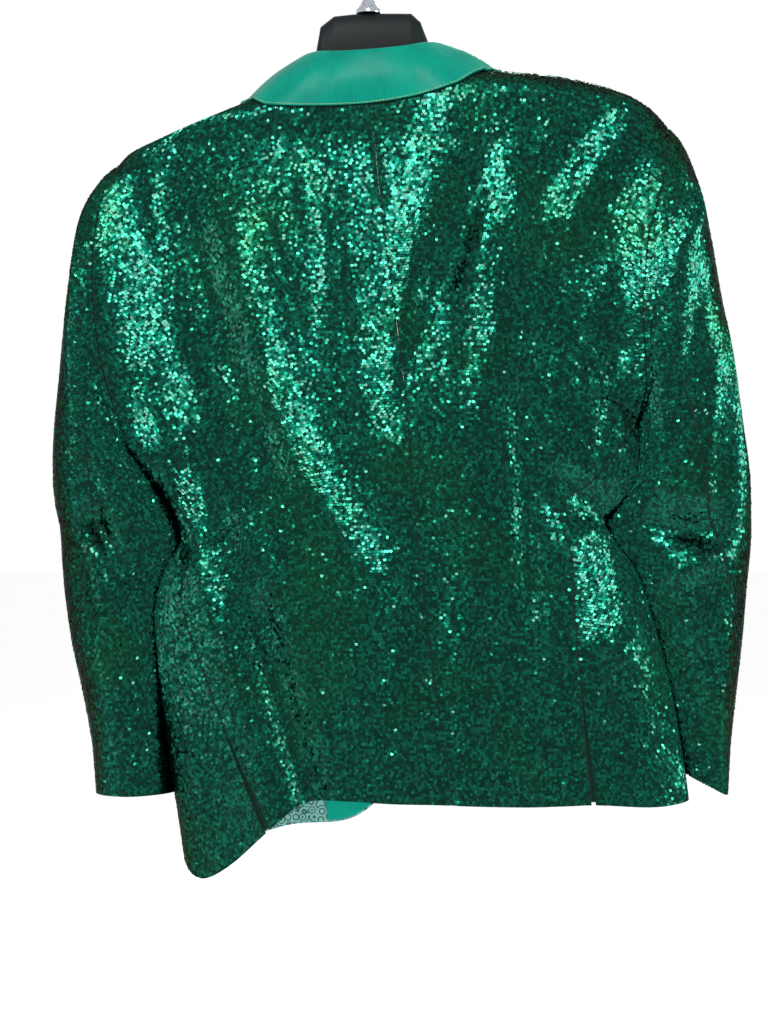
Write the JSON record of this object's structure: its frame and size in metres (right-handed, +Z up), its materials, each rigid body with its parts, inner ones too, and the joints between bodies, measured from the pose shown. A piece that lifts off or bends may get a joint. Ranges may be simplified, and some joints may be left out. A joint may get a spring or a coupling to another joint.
{
  "type": "blazer on hanger",
  "caption": "Sequinned single-breasted blazer with satin collar and lapels, hanging by its moulded hanger's chrome hook, open at neck, hem and cuffs.",
  "frame": {"origin": "inner top of the hook, where a rail carries it", "axes": "+Z up; the back of the blazer faces -Y and its front faces +Y; +X is to the right when it is seen from behind"},
  "size_m": [0.7283, 0.1658, 0.967],
  "materials": {
    "sequin_cloth": "flat sequins in rows on a mesh ground",
    "satin": "smooth satin",
    "printed_lining": "printed lining",
    "button": "polished",
    "hanger_plastic": "moulded, fine grain",
    "hook_chrome": "plated wire"
  },
  "bodies": {
    "root": {"back_left": "sequin_cloth", "back_right": "sequin_cloth", "side_left": "sequin_cloth", "side_right": "sequin_cloth", "vent_left": "sequin_cloth", "vent_right": "sequin_cloth", "front_left": "sequin_cloth", "front_right": "sequin_cloth", "sleeve_left_top": "sequin_cloth", "sleeve_left_under": "sequin_cloth", "sleeve_right_top": "sequin_cloth", "sleeve_right_under": "sequin_cloth", "lapel_left": "satin", "lapel_right": "satin", "collar": "satin", "facing_left": "satin", "lining_left": "printed_lining", "button_front": "button", "hanger": "hanger_plastic", "hook": "hook_chrome"}
  },
  "joints": []
}
